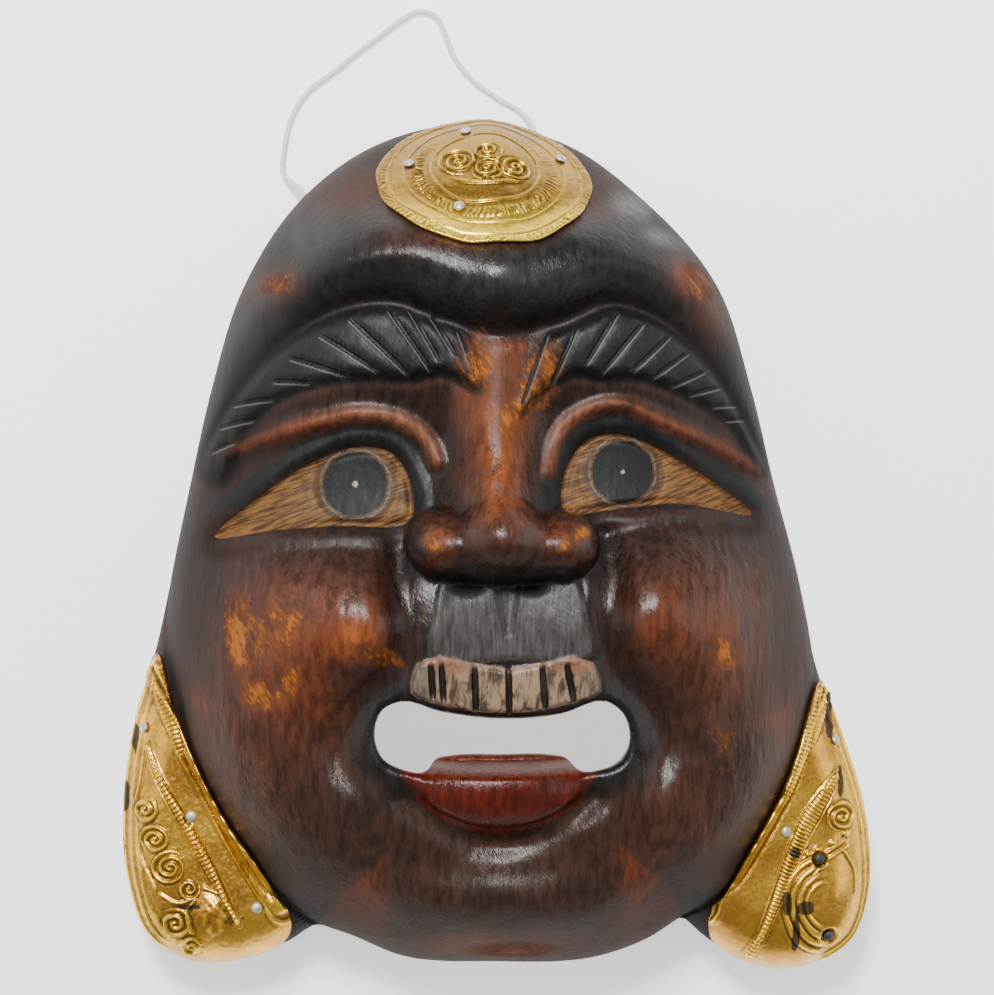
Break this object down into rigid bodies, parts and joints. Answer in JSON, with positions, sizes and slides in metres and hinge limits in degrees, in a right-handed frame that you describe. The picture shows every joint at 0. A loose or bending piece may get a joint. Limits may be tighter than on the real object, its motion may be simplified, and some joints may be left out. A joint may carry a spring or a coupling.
{
  "type": "carved wooden mask",
  "caption": "Carved wooden wall mask of a laughing face, hollow behind, with embossed brass plates on crown and ear lobes and a string to hang it by.",
  "frame": {"origin": "middle of the mask's box, on the plane of its flat back, without the string and its knots", "axes": "+X to the right of someone who looks at the face, +Y up the face to the crown, +Z out of the face"},
  "size_m": [0.2673, 0.3482, 0.1041],
  "materials": {
    "stained_wood": "hand-rubbed dark stain, half gloss, worn orange-brown on the high places",
    "brass_sheet": "embossed thin sheet, bright gilt, tarnished in places",
    "pale_nails": "dull pale heads",
    "cotton_string": "twisted cotton, matt"
  },
  "bodies": {
    "root": {"mask_body": "stained_wood", "crown_medallion": "brass_sheet", "left_ear_plate": "brass_sheet", "right_ear_plate": "brass_sheet", "medallion_nail_1": "pale_nails", "medallion_nail_2": "pale_nails", "medallion_nail_3": "pale_nails", "medallion_nail_4": "pale_nails", "left_ear_nail_1": "pale_nails", "left_ear_nail_2": "pale_nails", "left_ear_nail_3": "pale_nails", "right_ear_nail_1": "pale_nails", "right_ear_nail_2": "pale_nails", "right_ear_nail_3": "pale_nails", "right_ear_nail_4": "pale_nails", "hanging_cord": "cotton_string", "left_knot": "cotton_string", "right_knot": "cotton_string"}
  },
  "joints": []
}
